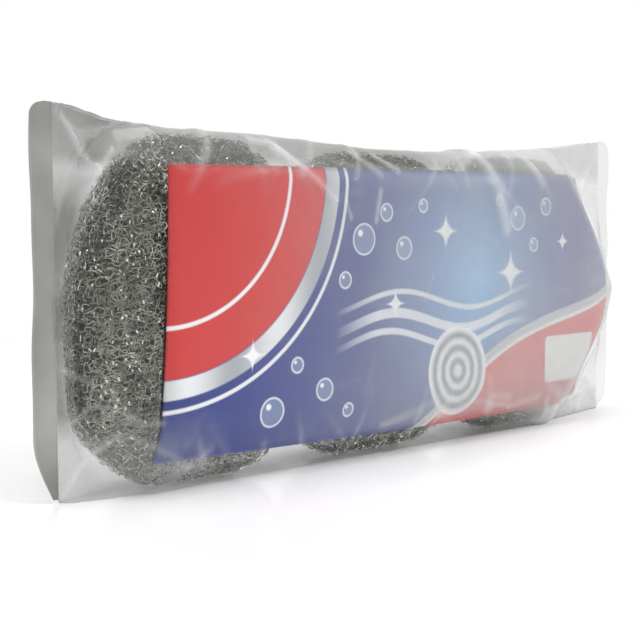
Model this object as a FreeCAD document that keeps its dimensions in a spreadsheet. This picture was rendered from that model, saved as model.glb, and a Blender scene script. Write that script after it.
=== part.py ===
import FreeCAD, Part
import Sketcher
import math
import os

# A clear film bag that stands on its long lower side and holds three knitted wire scourers in a row,
# with a printed card between the front film and the scourers. X runs along the row, the card faces -Y,
# and the origin is on the standing face, under the middle of the bag. All sizes are millimetres.

SIZES = {
    "pad_width": (71, "scourer, along the row"),
    "pad_height": (90, "scourer, upright"),
    "pad_depth": (33, "scourer, front to back"),
    "pad_top": (27, "straight stretch at the top and foot of a scourer's outline"),
    "pad_crown": (20, "how far in from the outline a scourer's crowned faces level out"),
    "pad_gap": (4, "free room between two scourers"),
    "ply": (3, "thickness of a scourer's outer ply"),
    "ply_gap": (0.2, "clearance between outer ply and inner roll"),
    "neck_radius": (3, "gathered ends of the knitted tube, on a scourer's back"),
    "neck_bore": (1.2, "radius of the opening in the gathered ends"),
    "dimple_floor": (1.2, "ply left under the hollow round the gathered ends"),
    "dimple_room": (1.6, "room round the tie in that hollow"),
    "tie_wire": (0.5, "radius of the tie's wire"),
    "tie_gap": (0.1, "clearance round the tie"),
    "film": (0.4, "thickness of the film"),
    "seat_gap": (0.3, "clearance under a scourer"),
    "head_room": (3, "clearance over a scourer"),
    "card_gap": (0.5, "clearance on either side of the card"),
    "end_rise": (7, "how far the flattened ends stand above the tube"),
    "tube_corner": (6, "corner radius of the tube's section"),
    "end_slit": (0.5, "half the inner depth of the tube where it is flattened"),
    "end_foot": (0.8, "clearance under the tube's narrowing ends and the end seals"),
    "left_room": (5.5, "from the left scourer to the root of the left seal"),
    "right_room": (20.5, "from the right scourer to the root of the right seal"),
    "right_travel": (6, "how far the right scourer can shift towards its seal"),
    "seal_width": (7, "width of an end seal"),
    "seal_corner": (5, "rounded outer corners of an end seal"),
    "fold_gap": (0.1, "clearance between an end seal and the tube"),
    "fin_width": (12, "width of the seam on the back"),
    "fin_depth": (0.4, "thickness of the seam on the back"),
    "card_depth": (0.35, "thickness of the card"),
    "card_inset": (17, "from the left scourer's rim to the card's left edge"),
    "card_overhang": (4, "how far the card reaches past the right scourer's rim"),
    "card_lift": (0.4, "from the tube's rounded corners to the card's long edges"),
}

doc = FreeCAD.newDocument("scourer_pack")
sheet = doc.addObject("Spreadsheet::Sheet", "Sizes")
for row, (alias, (size, meaning)) in enumerate(SIZES.items(), start=1):
    sheet.set(f"A{row}", alias)
    sheet.set(f"B{row}", str(size))
    sheet.set(f"C{row}", meaning)
    sheet.setAlias(f"B{row}", alias)
doc.recompute()


class Names(dict):
    """Writes {pad_width} in a formula as Sizes.pad_width."""

    def __missing__(self, alias):
        return f"Sizes.{alias}"


def formula(text):
    return text.format_map(Names())


def value(text):
    """The number that a formula gives with the sizes as they are."""
    return float(sheet.evalExpression(formula(text)))


# Places along the row, from the left end to the right
ROW = "(3 * {pad_width} + 2 * {pad_gap})"
HALF_LENGTH = f"(({ROW} + {{left_room}} + {{right_room}}) / 2 + {{seal_width}})"
LEFT_ROOT = f"({{seal_width}} - {HALF_LENGTH})"
RIGHT_ROOT = f"({HALF_LENGTH} - {{seal_width}})"
ROW_START = f"({LEFT_ROOT} + {{left_room}})"
ROW_END = f"({ROW_START} + {ROW})"
CARD_LEFT = f"({ROW_START} + {{card_inset}})"
CARD_RIGHT = f"({ROW_END} + {{card_overhang}})"
TAIL_START = f"({ROW_END} - {{pad_crown}} + {{right_travel}})"

# Heights and half depths of the bag round the scourers
PAD_FOOT = "({film} + {seat_gap})"
PAD_MIDDLE = f"({PAD_FOOT} + {{pad_height}} / 2)"
TUBE_TOP = f"({PAD_FOOT} + {{pad_height}} + {{head_room}} + {{film}})"
END_TOP = f"({TUBE_TOP} + {{end_rise}})"
TUBE_HALF = "({pad_depth} / 2 + 2 * {card_gap} + {card_depth} + {film})"
END_HALF = "({end_slit} + {film})"
END_CORNER = f"(0.8 * {END_HALF})"


def new_body(label):
    body = doc.addObject("PartDesign::Body", label)
    body.Label = label
    return body


def new_sketch(body, name, role, offset="0"):
    """A sketch on one of the body's origin planes, moved along the plane's normal."""
    sketch = body.newObject("Sketcher::SketchObject", name)
    plane = [item for item in body.Origin.OriginFeatures if item.Role == role][0]
    sketch.AttachmentSupport = [(plane, "")]
    sketch.MapMode = "FlatFace"
    sketch.setExpression("AttachmentOffset.Base.z", formula(offset))
    return sketch


# The points of a line or an arc, as a sketch numbers them
POINTS = ("edge", "start", "end", "centre")
START = POINTS.index("start")
END = POINTS.index("end")
CENTRE = POINTS.index("centre")


def constrain(sketch, relations, dimensions):
    """Add all constraints in one go, and bind each dimension to its formula. A place is measured from
    the sketch's origin, which is the start of the sketch's own first axis, number -1."""
    constraints = [Sketcher.Constraint(*relation) for relation in relations]
    for name, kind, place, text in dimensions:
        origin = () if kind == "Radius" else (-1, START)
        constraint = Sketcher.Constraint(kind, *origin, *place, value(text))
        constraint.Name = name
        constraints.append(constraint)
    sketch.addConstraint(constraints)
    for name, _, _, text in dimensions:
        sketch.setExpression(f"Constraints.{name}", formula(text))


def draw_line(sketch, start, end):
    start = FreeCAD.Vector(*start, 0)
    end = FreeCAD.Vector(*end, 0)
    return sketch.addGeometry(Part.LineSegment(start, end))


def draw_arc(sketch, centre, radius, from_degrees, to_degrees):
    circle = Part.Circle(FreeCAD.Vector(*centre, 0), FreeCAD.Vector(0, 0, 1), radius)
    turn = (math.radians(from_degrees), math.radians(to_degrees))
    return sketch.addGeometry(Part.ArcOfCircle(circle, *turn))


def draw_rounded(sketch, west, east, south, north, corner):
    """A rectangle with rounded corners, from the places of its four sides and its corner radius."""
    w, e, s, n, r = (value(text) for text in (west, east, south, north, corner))
    draw_line(sketch, (w + r, s), (e - r, s))
    draw_arc(sketch, (e - r, s + r), r, -90, 0)
    draw_line(sketch, (e, s + r), (e, n - r))
    draw_arc(sketch, (e - r, n - r), r, 0, 90)
    draw_line(sketch, (e - r, n), (w + r, n))
    draw_arc(sketch, (w + r, n - r), r, 90, 180)
    draw_line(sketch, (w, n - r), (w, s + r))
    draw_arc(sketch, (w + r, s + r), r, 180, 270)
    foot, right, top, left = 0, 2, 4, 6
    first_corner, other_corners = 1, (3, 5, 7)
    relations = [("Tangent", edge, END, (edge + 1) % 8, START) for edge in range(8)]
    relations += [("Horizontal", foot), ("Horizontal", top), ("Vertical", left), ("Vertical", right)]
    relations += [("Equal", first_corner, arc) for arc in other_corners]
    constrain(sketch, relations, [
        ("corner", "Radius", (first_corner,), corner),
        ("west", "DistanceX", (left, START), west),
        ("east", "DistanceX", (right, START), east),
        ("south", "DistanceY", (foot, START), south),
        ("north", "DistanceY", (top, START), north),
    ])


def draw_polygon(sketch, corners):
    """A closed outline of straight lines, each corner placed by two formulas."""
    places = [(value(x), value(y)) for x, y in corners]
    count = len(corners)
    relations = []
    dimensions = []
    for index, (x, y) in enumerate(corners):
        following = (index + 1) % count
        draw_line(sketch, places[index], places[following])
        relations.append(("Coincident", index, END, following, START))
        dimensions.append((f"across_{index}", "DistanceX", (index, START), x))
        dimensions.append((f"along_{index}", "DistanceY", (index, START), y))
    constrain(sketch, relations, dimensions)


def draw_circle(sketch, name, radius):
    circle = Part.Circle(FreeCAD.Vector(), FreeCAD.Vector(0, 0, 1), value(radius))
    index = sketch.addGeometry(circle)
    centred = ("Coincident", index, CENTRE, -1, START)
    constrain(sketch, [centred], [(name, "Radius", (index,), radius)])


def add_pad(body, name, sketch, length):
    pad = body.newObject("PartDesign::Pad", name)
    pad.Profile = sketch
    pad.setExpression("Length", formula(length))
    return pad


def add_pocket(body, name, sketch, length, reverse=False):
    """Cut a sketch into the body, and make sure that it took something away."""
    doc.recompute()
    before = body.Shape.Volume
    pocket = body.newObject("PartDesign::Pocket", name)
    pocket.Profile = sketch
    pocket.Reversed = reverse
    pocket.setExpression("Length", formula(length))
    doc.recompute()
    if body.Shape.Volume >= before:
        raise RuntimeError(f"{body.Label}: {name} cuts nothing")


def add_loft(body, kind, name, sections, ruled):
    loft = body.newObject(f"PartDesign::{kind}Loft", name)
    loft.Profile = sections[0]
    loft.Sections = sections[1:]
    loft.Ruled = ruled


# Film bag
# The tube keeps its full section from the card's left edge to where the right scourer can shift, and
# closes towards each end on a quarter of an ellipse. A station gives a place along X, how full the
# section is there (0 flattened, 1 full), and how much of the ends' rise is left.


def bag_stations():
    """Place, fullness, rise of the top and height of the foot. The bag stands on its full stretch only."""
    stations = []
    for degrees in (0, 22.5, 45, 67.5, 90):
        reach = math.cos(math.radians(degrees))
        fullness = math.sin(math.radians(degrees))
        place = f"({CARD_LEFT} - {reach:.6f} * ({CARD_LEFT} - {LEFT_ROOT}))"
        foot = "0" if degrees == 90 else "{end_foot}"
        stations.append((place, f"{fullness:.6f}", f"{1 - fullness:.6f}", foot))
    run = f"({RIGHT_ROOT} - {TAIL_START})"
    card_share = f"(({CARD_RIGHT} - {TAIL_START}) / {run})"
    for share in ("0", f"({card_share} / 2)", card_share, f"((1 + {card_share}) / 2)", "1"):
        place = f"({TAIL_START} + {share} * {run})"
        foot = "0" if share == "0" else "{end_foot}"
        stations.append((place, f"sqrt(1 - {share} ^ 2)", f"{share} ^ 2", foot))
    return stations


STATIONS = bag_stations()
CARD_STATIONS = STATIONS[4:8]


def half_depth(fullness):
    return f"({END_HALF} + ({TUBE_HALF} - {END_HALF}) * {fullness})"


def tube_section(body, name, station, wall):
    """The tube's section at one station, drawn in by a wall."""
    place, fullness, rise, foot = station
    half = f"({half_depth(fullness)} - {wall})"
    top = f"({TUBE_TOP} + {{end_rise}} * {rise} - {wall})"
    corner = f"({END_CORNER} + ({{tube_corner}} - {END_CORNER}) * {fullness} - {wall})"
    sketch = new_sketch(body, name, "YZ_Plane", place)
    draw_rounded(sketch, f"-{half}", half, f"({foot} + {wall})", top, corner)
    return sketch


def build_film_tube():
    body = new_body("film_tube")
    outside = []
    inside = []
    for index, station in enumerate(STATIONS):
        outside.append(tube_section(body, f"outside_{index}", station, "0"))
        inside.append(tube_section(body, f"inside_{index}", station, "{film}"))
    add_loft(body, "Additive", "bag_outside", outside, True)
    add_loft(body, "Subtractive", "bag_inside", inside, True)
    return body


def build_back_fin():
    """The film's lengthwise seam, lying flat along the middle of the back."""
    body = new_body("back_fin_seal")
    sections = []
    for index, (place, fullness, _, _) in enumerate(STATIONS):
        half = half_depth(fullness)
        low = f"({PAD_MIDDLE} - {{fin_width}} / 2)"
        high = f"({PAD_MIDDLE} + {{fin_width}} / 2)"
        sketch = new_sketch(body, f"seam_{index}", "YZ_Plane", place)
        outer = f"({half} + {{fin_depth}})"
        draw_polygon(sketch, [(half, low), (outer, low), (outer, high), (half, high)])
        sections.append(sketch)
    add_loft(body, "Additive", "seam", sections, True)
    return body


def build_end_seal(label, root, outward):
    """Two plies of film sealed flat, rounded at the root, where the band folds about an upright line."""
    body = new_body(label)
    reach = "({seal_width} - {fold_gap} - {film})"
    sketch = new_sketch(body, f"{label}_band", "XY_Plane", "{end_foot}")
    length = value(reach)
    half = value("{film}")
    near = draw_line(sketch, (0, -half), (length, -half))
    edge = draw_line(sketch, (length, -half), (length, half))
    far = draw_line(sketch, (length, half), (0, half))
    root_arc = draw_arc(sketch, (0, 0), half, 90, 270)
    relations = [
        ("Coincident", near, END, edge, START),
        ("Coincident", edge, END, far, START),
        ("Tangent", far, END, root_arc, START),
        ("Tangent", root_arc, END, near, START),
        ("Coincident", root_arc, CENTRE, -1, START),
        ("Horizontal", near),
        ("Horizontal", far),
        ("Vertical", edge),
    ]
    constrain(sketch, relations, [
        ("half", "Radius", (root_arc,), "{film}"),
        ("reach", "DistanceX", (near, END), reach),
    ])
    pad = add_pad(body, f"{label}_plies", sketch, f"{END_TOP} - {{end_foot}}")
    doc.recompute()
    corners = []
    for number, line in enumerate(pad.Shape.Edges, start=1):
        ends = [vertex.Point for vertex in line.Vertexes]
        level = len(ends) == 2 and abs(ends[0].z - ends[1].z) < half
        if level and all(abs(point.x - length) < half / 2 for point in ends):
            corners.append(f"Edge{number}")
    fillet = body.newObject("PartDesign::Fillet", f"{label}_corners")
    fillet.Base = (pad, corners)
    fillet.setExpression("Radius", formula(f"min({{seal_corner}}; {reach} * 0.8)"))
    if outward < 0:
        body.Placement.Rotation = FreeCAD.Rotation(FreeCAD.Vector(0, 0, 1), 180)
    step = f"({{fold_gap}} + {{film}}) * {outward}"
    body.setExpression("Placement.Base.x", formula(f"{root} + {step}"))
    return body


def build_card():
    """The card lies flat behind the front film, and bends back with it past the right scourer."""
    body = new_body("insert_card")
    front = []
    back = []
    for place, fullness, _, _ in CARD_STATIONS:
        face = f"({half_depth(fullness)} - {{film}} - {{card_gap}})"
        front.append((place, f"-{face}"))
        back.append((place, f"({{card_depth}} - {face})"))
    sketch = new_sketch(body, "card_outline", "XY_Plane", "{tube_corner} + {card_lift}")
    draw_polygon(sketch, front + back[::-1])
    add_pad(body, "card_board", sketch, f"{TUBE_TOP} - 2 * ({{tube_corner}} + {{card_lift}})")
    return body


# Scourers
# Each is a pad with a round rim and crowned faces, centred on its own origin. A section at one angle
# round the rim is drawn in from the outline along a quarter of an ellipse.

RIM_ANGLES = (-90, -66, -44, -22, 0, 22, 44, 66, 90)


def pad_sections(body, name, shrink):
    """Outlines from front to back of the pad's form, drawn in all round by a formula."""
    sections = []
    for index, degrees in enumerate(RIM_ANGLES):
        drawn_in = 1 - math.cos(math.radians(degrees))
        sideways = math.sin(math.radians(degrees))
        inset = f"({shrink} + ({{pad_crown}} - {shrink}) * {drawn_in:.6f})"
        half_width = f"({{pad_width}} / 2 - {inset})"
        half_height = f"({{pad_height}} / 2 - {inset})"
        corner = f"(({{pad_width}} - {{pad_top}}) / {{pad_width}} * {half_width})"
        place = f"{sideways:.6f} * ({{pad_depth}} / 2 - {shrink})"
        sketch = new_sketch(body, f"{name}_{index}", "XZ_Plane", place)
        draw_rounded(sketch, f"-{half_width}", half_width, f"-{half_height}", half_height, corner)
        sections.append(sketch)
    return sections


DIMPLE_DEPTH = "({ply} - {dimple_floor})"
TIE_RING = "({neck_radius} + {tie_gap} + {tie_wire})"


def build_sleeve(label):
    """The outer ply, with its gathered ends standing in a hollow on the back."""
    body = new_body(label)
    add_loft(body, "Additive", f"{label}_outside", pad_sections(body, f"{label}_out", "0"), False)
    doc.recompute()
    add_loft(body, "Subtractive", f"{label}_inside", pad_sections(body, f"{label}_in", "{ply}"), False)
    back_face = "-{pad_depth} / 2"
    ring = new_sketch(body, f"{label}_ring", "XZ_Plane", back_face)
    draw_circle(ring, "neck", "{neck_radius}")
    draw_circle(ring, "rim", f"{TIE_RING} + {{tie_wire}} + {{dimple_room}}")
    add_pocket(body, f"{label}_dimple", ring, DIMPLE_DEPTH, reverse=True)
    hole = new_sketch(body, f"{label}_hole", "XZ_Plane", back_face)
    draw_circle(hole, "bore", "{neck_bore}")
    add_pocket(body, f"{label}_neck", hole, "{ply} + {ply_gap}", reverse=True)
    return body


def build_roll(label):
    body = new_body(label)
    sections = pad_sections(body, f"{label}_form", "({ply} + {ply_gap})")
    add_loft(body, "Additive", f"{label}_body", sections, False)
    return body


def build_tie(label):
    tie = doc.addObject("Part::Torus", label)
    tie.Label = label
    tie.setExpression("Radius1", formula(TIE_RING))
    tie.setExpression("Radius2", formula("{tie_wire}"))
    tie.Placement.Rotation = FreeCAD.Rotation(FreeCAD.Vector(1, 0, 0), 90)
    seat = f"{{pad_depth}} / 2 - {DIMPLE_DEPTH} + {{tie_gap}} + {{tie_wire}}"
    tie.setExpression("Placement.Base.y", formula(seat))
    return tie


def build_scourer(side, index):
    pieces = [
        build_sleeve(f"{side}_scourer_sleeve"),
        build_roll(f"{side}_scourer_roll"),
        build_tie(f"{side}_scourer_tie"),
    ]
    middle = f"{ROW_START} + {{pad_width}} / 2 + {index} * ({{pad_width}} + {{pad_gap}})"
    for piece in pieces:
        piece.setExpression("Placement.Base.x", formula(middle))
        piece.setExpression("Placement.Base.z", formula(PAD_MIDDLE))
    return pieces


subparts = [
    build_film_tube(),
    build_back_fin(),
    build_end_seal("left_end_seal", LEFT_ROOT, -1),
    build_end_seal("right_end_seal", RIGHT_ROOT, 1),
    build_card(),
]
for index, side in enumerate(("left", "middle", "right")):
    subparts += build_scourer(side, index)
doc.recompute()

for item in doc.Objects:
    if "Invalid" in item.State or "Error" in item.State:
        raise RuntimeError(f"{item.Label} failed: {item.State}")
for piece in subparts:
    if piece.Shape.isNull() or not piece.Shape.isValid():
        raise RuntimeError(f"{piece.Label} has no valid shape")

os.makedirs("parts", exist_ok=True)
for piece in subparts:
    piece.Shape.exportStep(f"parts/{piece.Label}.step")
    box = piece.Shape.optimalBoundingBox(False, False)
    extent = f"{box.XLength:.2f} x {box.YLength:.2f} x {box.ZLength:.2f} mm"
    print(f"{piece.Label}: {len(piece.Shape.Solids)} solid, {piece.Shape.Volume:.1f} mm3, {extent}")
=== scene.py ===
import math

import bpy
import numpy as np
from mathutils import Matrix, Vector


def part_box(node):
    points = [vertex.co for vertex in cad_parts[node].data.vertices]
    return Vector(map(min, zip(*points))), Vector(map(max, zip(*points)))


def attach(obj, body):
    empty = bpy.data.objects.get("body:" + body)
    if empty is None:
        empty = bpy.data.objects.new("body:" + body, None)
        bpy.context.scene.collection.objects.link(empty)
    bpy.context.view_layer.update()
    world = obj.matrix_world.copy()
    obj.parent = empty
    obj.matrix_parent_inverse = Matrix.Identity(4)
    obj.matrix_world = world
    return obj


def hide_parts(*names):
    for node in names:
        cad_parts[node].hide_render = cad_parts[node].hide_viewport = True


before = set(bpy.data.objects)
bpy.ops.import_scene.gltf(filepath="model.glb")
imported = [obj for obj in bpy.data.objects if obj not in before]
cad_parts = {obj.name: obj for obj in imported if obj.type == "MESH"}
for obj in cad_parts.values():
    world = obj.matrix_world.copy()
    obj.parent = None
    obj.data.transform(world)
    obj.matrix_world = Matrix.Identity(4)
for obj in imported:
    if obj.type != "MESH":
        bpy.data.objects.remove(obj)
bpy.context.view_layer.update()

# A clear film pillow pack with three knitted wire scourers and a printed card. Lengths in this script
# are millimetres until mesh_object turns them into metres. X runs along the row, the card faces -Y.

MM = 0.001
SIDES = ("left", "middle", "right")


def node_box(node):
    """Lowest and highest corner of a CAD node, in millimetres."""
    low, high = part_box(node)
    return np.array(low) / MM, np.array(high) / MM


# Meshes

SINES = 5
# What a sum of that many sines seldom goes beyond
SINES_PEAK = 2.2


def mesh_object(name, points, faces, material, body):
    """A smooth mesh from points in millimetres, riding on a CAD body."""
    mesh = bpy.data.meshes.new(name)
    mesh.from_pydata((np.asarray(points) * MM).tolist(), [], np.asarray(faces).tolist())
    mesh.polygons.foreach_set("use_smooth", [True] * len(mesh.polygons))
    mesh.materials.append(material)
    mesh.update()
    piece = bpy.data.objects.new(name, mesh)
    bpy.context.scene.collection.objects.link(piece)
    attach(piece, body)
    return piece


def keep_values(piece, name, values):
    """Keep a number for each point of a mesh, for its material."""
    layer = piece.data.attributes.new(name, "FLOAT", "POINT")
    layer.data.foreach_set("value", np.asarray(values, dtype=np.float32))


def grid_faces(rows, columns, closed_rows=False, closed_columns=False):
    """Quads of a grid whose points are numbered row by row."""
    row_index = np.arange(rows if closed_rows else rows - 1)
    column_index = np.arange(columns if closed_columns else columns - 1)
    r, c = np.meshgrid(row_index, column_index, indexing="ij")
    r_next = (r + 1) % rows
    c_next = (c + 1) % columns
    corners = [r * columns + c, r * columns + c_next, r_next * columns + c_next, r_next * columns + c]
    return np.stack(corners, axis=-1).reshape(-1, 4)


def unit(vectors):
    """The same directions, each 1 long."""
    return vectors / np.maximum(np.linalg.norm(vectors, axis=-1, keepdims=True), 1e-9)


def rise(value, start, end):
    """0 up to start, 1 from end on, and in proportion between them. End may be the lower one."""
    return np.clip((value - start) / (end - start), 0, 1)


def smooth_random(rng, count, waves, size):
    """A closed smooth random curve, as a sum of sines."""
    s = np.arange(count) / count * 2 * math.pi
    total = np.zeros(count)
    for _ in range(SINES):
        total += np.sin(s * rng.integers(1, waves) + rng.uniform(0, 2 * math.pi))
    return total * size / SINES_PEAK


# Materials

MATH = "ShaderNodeMath"
# Takes a value at 0 and its range at 1 and 2, and turns that into the range at 3 and 4, or into 0 to 1
RANGE = "ShaderNodeMapRange"
# Takes the share of the upper colour and the two colours at these inputs
MIX = "ShaderNodeMix"
SHARE, UNDER, OVER = 0, 6, 7
COLOURS = {"output": 2, "data_type": "RGBA"}
# A noise pattern keeps mostly between these
NOISE_LOW, NOISE_HIGH = 0.3, 0.7

# Sizes of the patterns, in millimetres
FILM_CLOUD = 26.3
FILM_CRUMPLE = 14.3
BOARD_WAVE = 11.1
# The patches of zinc and the gaps between packed wires are really finer, and drawn this coarse to show
ZINC_PATCH = 4.17
WIRE_GAP = 2.38


def linear(hex_code):
    """An sRGB hex colour as the linear red, green, blue and alpha that shaders take."""
    parts = [int(hex_code[i:i + 2], 16) / 255 for i in (1, 3, 5)]
    return tuple(p / 12.92 if p <= 0.04045 else ((p + 0.055) / 1.055) ** 2.4 for p in parts) + (1.0,)


def feed(node, inputs):
    """Give inputs of a node a constant, a hex colour or the socket that feeds them."""
    for socket, source in inputs.items():
        if isinstance(source, bpy.types.NodeSocket):
            node.id_data.links.new(source, node.inputs[socket])
        else:
            node.inputs[socket].default_value = linear(source) if isinstance(source, str) else source


def add_node(tree, kind, inputs=None, output=0, **settings):
    """Add a node with its settings and links, and give one of its outputs."""
    node = tree.nodes.new(kind)
    for name, setting in settings.items():
        setattr(node, name, setting)
    feed(node, inputs or {})
    return node.outputs[output]


def new_material(name):
    """A new material, its node tree and its main shader."""
    material = bpy.data.materials.new(name)
    material.use_nodes = True
    return material, material.node_tree, material.node_tree.nodes["Principled BSDF"]


# What a film mesh keeps for each point: how much it veils, how far that veil is painted light rather than
# dark as painted shade, and how sharply it is creased, which is lightened as a painted highlight
FILM_VALUES = ("veil", "painted_light", "crease")


def polypropylene_film():
    """Clear polypropylene film, drawn thin and heat-sealed: a veil painted dark grey as shade or milky white
    as reflected light, following how the film lies, with slight clouds, creases lightened as a painted
    highlight and crisp glints."""
    material, tree, shader = new_material("clear_polypropylene_film")
    place = add_node(tree, "ShaderNodeTexCoord", output="Object")
    veil, painted_light, crease = [
        add_node(tree, "ShaderNodeAttribute", output="Fac", attribute_name=name) for name in FILM_VALUES
    ]
    noise = {"Vector": place, "Scale": 1 / (FILM_CLOUD * MM), "Detail": 2.0}
    clouds = add_node(tree, "ShaderNodeTexNoise", noise)
    clouds = add_node(tree, RANGE, {0: clouds, 1: NOISE_LOW, 2: NOISE_HIGH, 3: 0.88, 4: 1.12})
    cover = add_node(tree, MATH, {0: veil, 1: clouds}, operation="MULTIPLY")
    # the film veils more where it is seen edge-on, and where it is creased, as part of a painted highlight
    facing = add_node(tree, "ShaderNodeLayerWeight", {"Blend": 0.4}, "Facing")
    facing = add_node(tree, MATH, {0: facing, 1: 3.0}, operation="POWER")
    cover = add_node(tree, MATH, {0: facing, 1: 0.3, 2: cover}, operation="MULTIPLY_ADD")
    cover = add_node(tree, MATH, {0: crease, 1: 0.3, 2: cover}, operation="MULTIPLY_ADD", use_clamp=True)
    # the veil's tint: dark grey where it is painted shade, milky white where it is painted reflected light
    tint = add_node(tree, MIX, {SHARE: painted_light, UNDER: "#4c4c42", OVER: "#dcdedd"}, **COLOURS)
    # creases lightened towards white as a painted highlight
    crease_highlight = add_node(tree, MATH, {0: crease, 1: 0.8}, operation="MULTIPLY", use_clamp=True)
    tint = add_node(tree, MIX, {SHARE: crease_highlight, UNDER: tint, OVER: "#f1f2f2"}, **COLOURS)
    noise = {"Vector": place, "Scale": 1 / (FILM_CRUMPLE * MM), "Detail": 3.0}
    crumple = add_node(tree, "ShaderNodeTexNoise", noise)
    bump = add_node(tree, "ShaderNodeBump", {"Height": crumple, "Strength": 0.3, "Distance": MM})
    feed(shader, {"Base Color": tint, "Alpha": cover, "Normal": bump, "Roughness": 0.14, "IOR": 1.5})
    return material


def galvanised_wire():
    """Galvanised steel wire, rolled flat and knitted: grey zinc whose brightness and gloss change along the
    strand, with glints painted near white as highlights where a loop turns its flat side out, and the rim and
    foot painted lighter as shine."""
    material, tree, shader = new_material("galvanised_flat_wire")
    place = add_node(tree, "ShaderNodeTexCoord", output="Object")
    painted_glint = add_node(tree, "ShaderNodeAttribute", output="Fac", attribute_name="painted_glint")
    noise = {"Vector": place, "Scale": 1 / (ZINC_PATCH * MM), "Detail": 2.0}
    patches = add_node(tree, "ShaderNodeTexNoise", noise)
    bright = add_node(tree, RANGE, {0: patches, 1: NOISE_LOW, 2: NOISE_HIGH})
    tone = add_node(tree, MIX, {SHARE: bright, UNDER: "#6c6e66", OVER: "#a0a299"}, **COLOURS)
    # painted highlights: the glints and the shine of the rim and foot mixed towards near white
    tone = add_node(tree, MIX, {SHARE: painted_glint, UNDER: tone, OVER: "#fbfbf6"}, **COLOURS)
    gloss = add_node(tree, RANGE, {0: patches, 1: NOISE_LOW, 2: NOISE_HIGH, 3: 0.36, 4: 0.2})
    feed(shader, {"Base Color": tone, "Roughness": gloss, "Metallic": 1.0})
    return material


def packed_wire():
    """Galvanised wire rolled into a wad, the deep layers of a scourer: grey wires packed behind each other,
    with small gaps between them darkened as painted shade."""
    material, tree, shader = new_material("packed_galvanised_wire")
    place = add_node(tree, "ShaderNodeTexCoord", output="Object")
    cells = {"Vector": place, "Scale": 1 / (WIRE_GAP * MM)}
    edge = add_node(tree, "ShaderNodeTexVoronoi", cells, "Distance", feature="DISTANCE_TO_EDGE")
    wires = add_node(tree, RANGE, {0: edge, 1: 0.02, 2: 0.2, 3: 1.0, 4: 0.0})
    # the gaps between wires are darkened as painted shade
    tone = add_node(tree, MIX, {SHARE: wires, UNDER: "#62645d", OVER: "#94968e"}, **COLOURS)
    bump = add_node(tree, "ShaderNodeBump", {"Height": wires, "Strength": 0.8, "Distance": 0.5 * MM})
    feed(shader, {"Base Color": tone, "Normal": bump, "Metallic": 0.2, "Roughness": 0.5})
    return material


# Print on the card, in millimetres from its lower left corner

PRINT_WIDTH = 208
# Half the width of the soft edge of a printed shape
PRINT_EDGE = 0.25
GLOW_CENTRE, GLOW_REACH = (128, 46), 58
# Level and half thickness of each stroke, and where all of them fade in and out along the card
STROKES = ((34, 1.5), (28.5, 1.0), (40.5, 0.8))
STROKE_FADES = ((62, 80), (158, 140))
QUARTER_CENTRE, QUARTER_RADIUS = (0, 81.3), 58
PLATE_CENTRE, PLATE_RADIUS = (118, 17), 14
PATCH_CENTRE, PATCH_HALF = (181, 17), (13, 6)
# Centre and radius of each bubble, and centre and reach of each sparkle
BUBBLES = (
    ((74, 60), 4.6), ((84, 68), 2.6), ((92, 57), 3.4), ((101, 70), 2.0), ((66, 48), 2.4),
    ((150, 66), 3.8), ((159, 57), 2.2), ((166, 70), 2.9), ((140, 72), 1.8), ((58, 16), 3.2),
    ((68, 9), 2.0), ((47, 24), 2.2), ((38, 11), 4.2),
)
SPARKLES = (((112, 62), 8.0), ((146, 48), 10.0), ((88, 40), 6.0), ((30, 28), 6.0), ((176, 58), 5.0))


def off_line(tree, place, line):
    """How far a place on the print is from a line, to either side."""
    beyond = add_node(tree, MATH, {0: place, 1: line}, operation="SUBTRACT")
    return add_node(tree, MATH, {0: beyond}, operation="ABSOLUTE")


def disc(tree, place, centre, radius):
    """Distance on the print from a centre, and 1 inside a circle round it, 0 outside."""
    ends = {0: place, 1: (*centre, 0)}
    distance = add_node(tree, "ShaderNodeVectorMath", ends, "Value", operation="DISTANCE")
    return distance, add_node(tree, RANGE, {0: distance, 1: radius + PRINT_EDGE, 2: radius - PRINT_EDGE})


def ring(tree, distance, radius, width):
    """1 on a circular line on the print."""
    off = off_line(tree, distance, radius)
    return add_node(tree, RANGE, {0: off, 1: width / 2 + PRINT_EDGE, 2: width / 2 - PRINT_EDGE})


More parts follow.
